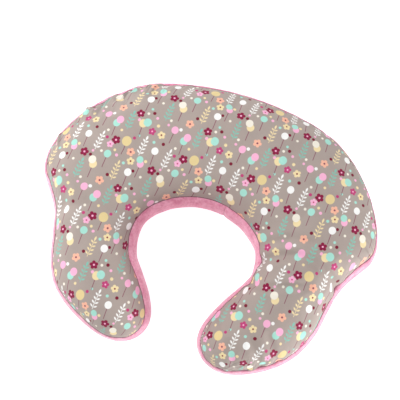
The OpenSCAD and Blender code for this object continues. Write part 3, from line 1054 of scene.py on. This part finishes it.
def plain_cloth(name, low, high, pitch_mm):
    s = Shader(name, Roughness=0.9, Sheen_Weight=0.1)
    place = s.place()
    weave = s.weave(place, pitch_mm)
    s.colour(s.blend(s.fit(s.noise(place, 30, 3) + weave * 0.1, 0.3, 0.7), low, high))
    s.bump(weave, 0.08)
    return s.material


def fibre(name, clump_mm, low, high):
    """Teased polyester fibre: fine crossing strands over soft clumps."""
    s = Shader(name, Roughness=0.9, Sheen_Weight=0.5, Subsurface_Weight=0.2, Subsurface_Scale=0.004)
    place = s.place()
    bent = s.vector("ADD", place, s.scaled(s.joined(s.noise(place, 9), s.noise(place, 14)), (9, 9, 9)))
    strand = s.noise(s.scaled(bent, (1, 0.08, 1)), 0.5, 2)
    cross = s.noise(s.scaled(bent, (0.08, 1, 1)), 0.5, 2)
    clump = s.noise(place, clump_mm, 4, 0.6)
    fuzz = s.most(strand, cross)
    s.colour(s.blend(s.fit(clump + fuzz * 0.4, 0.5, 0.9), low, high))
    s.bump(fuzz + clump * 6.0, 0.35)
    return s.material


# ---- pieces

CLOTH_T = 1.2 * MM
# the seam thread is thick so that it also stands in for the seam valley's painted shadow line
SEAM_THREAD_AND_SHADE_R = 0.7 * MM


def finished(obj, material, nodes=()):
    """Gives a piece its material and hides the CAD nodes it stands for. All of these ride on the pillow."""
    obj.data.materials.clear()
    obj.data.materials.append(material)
    if obj.type == "MESH":
        obj.data.polygons.foreach_set("use_smooth", [True] * len(obj.data.polygons))
    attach(obj, "pillow")
    if nodes:
        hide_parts(*nodes)
    return obj


def smooth_and_thicken(obj, thickness):
    subdivision = obj.modifiers.new("Subdivision", "SUBSURF")
    subdivision.levels = subdivision.render_levels = 1
    if thickness:
        solid = obj.modifiers.new("Thickness", "SOLIDIFY")
        solid.thickness = thickness
        solid.offset = -1


def cut_piece(name, cover, keep):
    """The faces of the cover that keep marks, as a piece of cloth with its flat places as UVs."""
    points, faces, _, flats, gathers = cover
    chosen = np.flatnonzero(keep)
    used = sorted({v for f in chosen for v in faces[f]})
    index = {v: i for i, v in enumerate(used)}
    piece = new_mesh(name, points[used], [[index[v] for v in faces[f]] for f in chosen])
    corners = np.array([corner for f in chosen for corner in flats[f]])
    layer = piece.data.uv_layers.new(name="flat")
    layer.data.foreach_set("uv", corners.ravel())
    attribute = piece.data.attributes.new("gathers", "FLOAT_VECTOR", "POINT")
    attribute.data.foreach_set("vector", gathers[used].ravel())
    smooth_and_thicken(piece, CLOTH_T)
    return piece


def cover_masks(panels):
    """For each piece of the cover's cloth, which of the cover's faces it has."""
    tiny = 1e-6
    n_levels = len(LEVELS) - 1
    start = np.tile(LOOP_T, n_levels) + 100 * tiny
    level = np.repeat(np.arange(n_levels), N_LOOP)
    above = LEVELS[level] - MID_Z > SLOT_HALF - tiny
    below = LEVELS[level + 1] - MID_Z < tiny - SLOT_HALF
    in_zip = (start < ZIP_T) | (start > LOOP_LEN - ZIP_T)
    on_right = start < INNER_JOIN_T
    bands = (~in_zip & on_right, ~in_zip & ~on_right, in_zip & above, in_zip & below)
    no_panel = np.zeros(len(panels) - len(start), bool)
    return (panels == TOP, panels == BOTTOM, *(np.append(band, no_panel) for band in bands))


def build_cover(cloth, plush, velour):
    """The cover's six pieces of cloth. Returns the cover's points."""
    cover = stuffed_cover()
    pieces = (
        ("printed_top", "printed_cotton", cloth, "cover_top_panel"),
        ("plush_underside", "pink_plush", plush, "cover_bottom_panel"),
        ("velour_band_right", "pink_velour", velour, "cover_band_right"),
        ("velour_band_left", "pink_velour", velour, "cover_band_left"),
        ("velour_strip_upper", "pink_velour", velour, "zip_strip_upper"),
        ("velour_strip_lower", "pink_velour", velour, "zip_strip_lower"),
    )
    for (name, slot_name, material, node), mask in zip(pieces, cover_masks(cover[2])):
        finished(cut_piece(name, cover, mask), material, [node])
    return cover[0]


def frames_along(path, closed):
    """Side and up vectors at each point of a path."""
    if closed:
        tangent = np.roll(path, -1, 0) - np.roll(path, 1, 0)
    else:
        tangent = np.gradient(path, axis=0)
    tangent /= np.linalg.norm(tangent, axis=1)[:, None]
    side = np.cross(tangent, [0.02, 0.03, 1.0])
    side /= np.linalg.norm(side, axis=1)[:, None]
    return side, np.cross(side, tangent)


def tube(path, radius, sides, closed=False):
    """(points, faces) of a round tube along a path."""
    side, up = frames_along(path, closed)
    turn = np.arange(sides) * 2 * math.pi / sides
    ring = np.cos(turn)[None, :, None] * side[:, None] + np.sin(turn)[None, :, None] * up[:, None]
    points = (path[:, None] + radius * ring).reshape(-1, 3)
    faces = grid_faces(len(path), sides, loop=closed)
    if not closed:
        faces.append(tuple(range(sides))[::-1])
        faces.append(tuple((len(path) - 1) * sides + k for k in range(sides)))
    return points, faces


def build_seam_threads_and_shade(points, material):
    """A line of thread in the valley of each seam, thick and dark so that it also stands in for the seam's
    painted shadow line.
    """
    for name, row, node in (
        ("seam_stitching_low", 0, "lower_seam_thread"),
        ("seam_stitching_high", len(LEVELS) - 1, "upper_seam_thread"),
    ):
        path = points[row * N_LOOP : (row + 1) * N_LOOP]
        obj = new_mesh(name, *tube(path, SEAM_THREAD_AND_SHADE_R, 6, closed=True))
        smooth_and_thicken(obj, 0)
        finished(obj, material, [node])


def on_back(degrees, depth, z):
    """Points at an angle of the back's arc, at a depth behind its line and at a height above MID_Z."""
    a = np.radians(degrees)
    r = BACK_R * MM - depth
    x = ARC_CENTRE[0] + r * np.sin(a)
    y = ARC_CENTRE[1] + r * np.cos(a)
    return np.stack([x, y, MID_Z + z + 0 * a], -1)


DEGREES_PER_T = 10  # the outline's parameter along the back's arc
STITCH_HALF_ANGLE = 19.4
STITCH_FROM_SLOT = 2.6 * MM
COIL_HALF_ANGLE = 18.4
COIL_GAP = 0.36 * MM  # the slider's inner wall passes between the coils
COIL_W = 3.04 * MM
COIL_T = 2.2 * MM
COIL_FRONT = 0.6 * MM
COIL_PITCH = 1.35 * MM
COIL_WIRE = 0.62 * MM


def build_coils(material):
    """The zipper's nylon coils: flattened helices side by side, half a turn apart."""
    length = math.radians(2 * COIL_HALF_ANGLE) * BACK_R * MM
    turns = int(length / COIL_PITCH)
    per_turn = 10
    squareness = 1.25  # how much the turns' long sides are pressed flat
    u = np.linspace(0, 1, turns * per_turn + 1)
    for name, way, start, node in (
        ("nylon_coil_upper", 1, 0, "zip_coil_upper"),
        ("nylon_coil_lower", -1, math.pi, "zip_coil_lower"),
    ):
        phase = 2 * math.pi * turns * u + start
        rise = (COIL_W - COIL_WIRE) / 2 * np.clip(squareness * np.cos(phase), -1, 1)
        deep = COIL_FRONT + COIL_T / 2 + (COIL_T - COIL_WIRE) / 2 * np.sin(phase)
        path = on_back(COIL_HALF_ANGLE * (2 * u - 1), deep, way * (COIL_GAP + COIL_W / 2 + rise))
        obj = new_mesh(name, *tube(path, COIL_WIRE / 2, 5))
        finished(obj, material, [node])


def build_zip_stitches(material):
    """Two rows of topstitching that hold the strips to the tapes."""
    length, gap, radius = 2.6 * MM, 1.0 * MM, 0.28 * MM
    half = math.radians(STITCH_HALF_ANGLE) * BACK_R * MM
    points, faces = [], []
    for way in (1, -1):
        height = way * (SLOT_HALF + STITCH_FROM_SLOT)
        for n in range(int(2 * half / (length + gap))):
            middle_at = -half + (n + 0.5) * (length + gap)
            # a stitch dives into the cloth at both of its ends
            spots = np.array([-0.5, -0.3, 0.3, 0.5]) * length + middle_at
            angles = np.degrees(spots / (BACK_R * MM))
            surface = band_inset(np.abs(angles) / DEGREES_PER_T, MID_Z + height)
            depths = surface + np.array([0.9, -0.3, -0.3, 0.9]) * radius
            stitch_points, stitch_faces = tube(on_back(angles, depths, height), radius, 5)
            faces += [tuple(len(points) + v for v in f) for f in stitch_faces]
            points += list(stitch_points)
    obj = new_mesh("zip_topstitching", points, faces)
    finished(obj, material)


LABEL_T = LOOP_LEN - 3.0  # outline parameter of the label's middle
LABEL_INSET = 9.0 * MM  # from the outline to the label's root
LABEL_HALF_W = 12 * MM
LABEL_DROP = 24 * MM
LABEL_THICK = 0.25 * MM


def build_label(material):
    """A blank care label: a folded ribbon held in the lower seam, which curls a little."""
    t = np.array([LABEL_T])
    out = outward(t)[0]
    along = np.array([out[1], -out[0]])
    root = edge(t)[0] - LABEL_INSET * out
    leaf_gap, fold_from, fold_to = 0.5 * MM, 0.8, 1.2
    # how the ribbon leaves the seam, curls outwards, bows across its width and twists
    root_lean, curl, bow, twist, root_drop = 3.6 * MM, 2.2 * MM, 0.8 * MM, 0.5 * MM, 0.6 * MM
    n_across, n_down = 9, 15
    points = []
    for i in range(n_down):
        # down the outer leaf, round the fold and back up the inner leaf
        u = 2 * i / (n_down - 1)
        down = min(u, 2 - u)
        leaf = math.copysign(leaf_gap, 1 - u)
        if fold_from < u < fold_to:
            leaf = leaf_gap * math.cos(math.pi * u / 2)
        for k in range(n_across):
            v = 2 * k / (n_across - 1) - 1
            lean = root_lean * min(1, 3 * down) + curl * down**2 + bow * v * v * down
            spot = root + (lean + leaf) * out + v * LABEL_HALF_W * along
            points.append((*spot, LOW_SEAM - root_drop - LABEL_DROP * down + twist * v * down))
    obj = new_mesh("satin_care_label", points, grid_faces(n_down, n_across, ring=False))
    smooth_and_thicken(obj, LABEL_THICK)
    finished(obj, material, ["care_label"])


# ---- inner pillow

RING_T = np.arange(0, LOOP_LEN, 0.25)
CASE_INSET = 5.5 * MM
CASE_LOW = 2.4 * MM  # the case's lowest height
CASE_T = 0.5 * MM
FILL_INSET = CASE_INSET + CASE_T + 0.6 * MM
FILL_ROOM = 1.4 * MM  # from the case's place to the fillings, above and below
SPLIT_GAP = 0.6 * MM  # from the middle height to each filling
DIVIDER_T = 0.4 * MM


def ring_at(share, inset, height, lump=0.0, seed=0.0):
    """A ring of points at a share of the way from the middle line to the inset outline, with lumps of that
    height."""
    m = middle(RING_T)
    inset = np.broadcast_to(inset, RING_T.shape)[:, None]
    xy = m + share * (edge(RING_T) - inset * outward(RING_T) - m)
    z = height(share, RING_T) if callable(height) else np.broadcast_to(height, RING_T.shape)
    rough = ripple(xy[:, 0] / (24 * MM), xy[:, 1] / (24 * MM), seed)
    z = z + lump * rough * np.sin(math.pi * min(share, 1 - 1e-6)) if lump else z
    return np.column_stack([xy, z])


def ringed_mesh(name, rings):
    """A surface through closed rings. Rings on the middle line close up."""
    obj = new_mesh(name, np.concatenate(rings), grid_faces(len(rings), len(RING_T), flip=True))
    bm = bmesh.new()
    bm.from_mesh(obj.data)
    bmesh.ops.remove_doubles(bm, verts=bm.verts, dist=0.05 * MM)
    bmesh.ops.recalc_face_normals(bm, faces=bm.faces)
    bm.to_mesh(obj.data)
    bm.free()
    return obj


def build_inner(case_cloth, divider_cloth, soft, firm):
    shares = [0, 0.15, 0.3, 0.45, 0.6, 0.72, 0.82, 0.9, 0.96, 1]
    seam = seam_inset(RING_T)

    def crown(depth):
        return lambda share, t: top_rise(share, t) - depth

    def base(height):
        return lambda share, t: bottom_rise(share, t) + height

    def piece(name, slot_name, material, node, rings, thickness, fill):
        obj = ringed_mesh(name, rings)
        smooth_and_thicken(obj, thickness)
        return finished(obj, material, [node])

    # the case: top, bottom and side band
    top = [ring_at(s, seam + CASE_INSET, crown(CASE_INSET), 0.8 * MM, seed=3.0) for s in shares]
    piece("case_cloth_top", "case_cloth", case_cloth, "case_top", top, CASE_T, 0.8)
    bottom = [ring_at(s, seam + CASE_INSET, base(CASE_LOW), 0.2 * MM, seed=5.0) for s in shares]
    piece("case_cloth_bottom", "case_cloth", case_cloth, "case_bottom", bottom, CASE_T, 0.8)
    low, high = LOW_SEAM + CASE_LOW, high_seam(RING_T) - CASE_INSET
    band = [
        ring_at(1, CASE_INSET + seam * abs(2 * u - 1) ** 2.2, low + u * (high - low))
        for u in np.linspace(0, 1, 7)
    ]
    piece("case_cloth_band", "case_cloth", case_cloth, "case_band", band, CASE_T, 0.8)

    # the fillings above and below the divider
    def filling(name, slot_name, material, node, way, outer, lump, seed, fill):
        rings = [ring_at(s, FILL_INSET, MID_Z + way * SPLIT_GAP) for s in (0, 0.4, 0.8, 1)]
        rings += [ring_at(1, FILL_INSET + 0.3 * seam, MID_Z + way * 0.3 * BAND_W)]
        rings += [ring_at(s, seam + FILL_INSET, outer, lump, seed) for s in shares[::-1]]
        piece(name, slot_name, material, node, rings, 0, fill)

    upper, lower = crown(CASE_INSET + FILL_ROOM), base(CASE_LOW + FILL_ROOM)
    filling("soft_filling", "soft_fibre", soft, "fill_soft", 1, upper, 1.2 * MM, 9.0, 0.8)
    filling("firm_filling", "firm_fibre", firm, "fill_firm", -1, lower, 0.4 * MM, 11.0, 0.95)

    # the sheet between them
    rings = [ring_at(s, FILL_INSET, MID_Z) for s in (0, 0.25, 0.5, 0.75, 1)]
    divider = piece("divider_sheet", "divider_cloth", divider_cloth, "fill_divider", rings, DIVIDER_T, None)


def paint_cad_nodes(by_node):
    """Gives CAD nodes that stay as they are their materials."""
    for node, material in by_node.items():
        obj = frame["nodes"][node]
        if not obj.material_slots:
            obj.data.materials.append(material)
        for held in obj.material_slots:
            held.material = material


# ---- scene

def aimed(obj, place, target):
    obj.location = place
    obj.rotation_mode = "QUATERNION"
    obj.rotation_quaternion = (Vector(target) - Vector(place)).to_track_quat("-Z", "Y")
    bpy.context.scene.collection.objects.link(obj)
    return obj


def polar(target, azimuth, elevation, distance):
    """A place seen from target at an azimuth (0 in front, at -Y) and an elevation, in degrees."""
    a, e = math.radians(azimuth), math.radians(elevation)
    away = Vector((math.sin(a) * math.cos(e), -math.cos(a) * math.cos(e), math.sin(e)))
    return Vector(target) + distance * away


def build_camera():
    target = (-0.018, 0.035, PILLOW_H / 2)
    azimuth, elevation, distance = 16.3, 80, 1.61
    camera = bpy.data.cameras.new("camera")
    camera.lens = 88
    camera.sensor_width = 36
    holder = bpy.data.objects.new("camera", camera)
    bpy.context.scene.camera = aimed(holder, polar(target, azimuth, elevation, distance), target)


def build_floor():
    """A wide pale floor that glows a little, as on a light table."""
    half = 12.0
    corners = [(-half, -half, 0), (half, -half, 0), (half, half, 0), (-half, half, 0)]
    floor = new_mesh("floor", corners, [(0, 1, 2, 3)])
    floor.location.z = -0.3 * MM
    s = Shader(
        "pale_floor",
        Roughness=0.9,
        Specular_IOR_Level=0.1,
        Emission_Color=(1, 1, 1),
        Emission_Strength=0.9,
    )
    s.colour(s.blend(s.noise(s.place(), 300, 2), (0.55, 0.55, 0.55), (0.58, 0.58, 0.58)))
    floor.data.materials.append(s.material)


# Soft lights round the pillow: azimuth, elevation, distance (m), size (m), power
LIGHTS = {
    "key": (-122, 60, 1.9, 0.5, 18),
    "left": (-80, 9, 1.5, 0.45, 5),
    "right": (68, 6, 1.5, 0.4, 15),
}


def build_lights():
    for name, (azimuth, elevation, distance, size, power) in LIGHTS.items():
        light = bpy.data.lights.new(name, "AREA")
        light.shape = "DISK"
        light.size = size
        light.energy = power
        holder = bpy.data.objects.new(name, light)
        aimed(holder, polar((0, 0, 0), azimuth, elevation, distance), (0, 0, 0.05))
    world = bpy.data.worlds.new("world")
    world.use_nodes = True
    background = world.node_tree.nodes["Background"].inputs
    background["Color"].default_value = (1, 1, 1, 1)
    background["Strength"].default_value = 0.56
    bpy.context.scene.world = world
    bpy.context.scene.view_settings.view_transform = "Standard"


# ---- everything, in order

velour = pile("pink_velour", srgb(248, 184, 206), srgb(222, 132, 163), 13, 0.9)
plush = pile("pink_plush", srgb(244, 176, 198), srgb(226, 142, 170), 7, 0.5)
metal = nickel()
tape_cloth = tape()
stitches = thread()
seam_points = build_cover(printed_cotton(), plush, velour)
build_seam_threads_and_shade(seam_points, stitches)
build_coils(nylon())
build_zip_stitches(stitches)
build_label(satin())
build_inner(
    plain_cloth("case_cloth", srgb(236, 233, 227), srgb(247, 246, 242), 0.7),
    plain_cloth("divider_cloth", srgb(228, 228, 226), srgb(242, 242, 240), 1.1),
    fibre("soft_fibre", 18, srgb(226, 227, 228), srgb(250, 250, 250)),
    fibre("firm_fibre", 9, srgb(214, 215, 216), srgb(240, 240, 240)),
)
paint_cad_nodes({
    "zip_tape_upper": tape_cloth,
    "zip_tape_lower": tape_cloth,
    "zip_top_stops": metal,
    "zip_bottom_stop": metal,
    "zip_slider": metal,
    "zip_pull": metal,
})
build_camera()
build_floor()
build_lights()
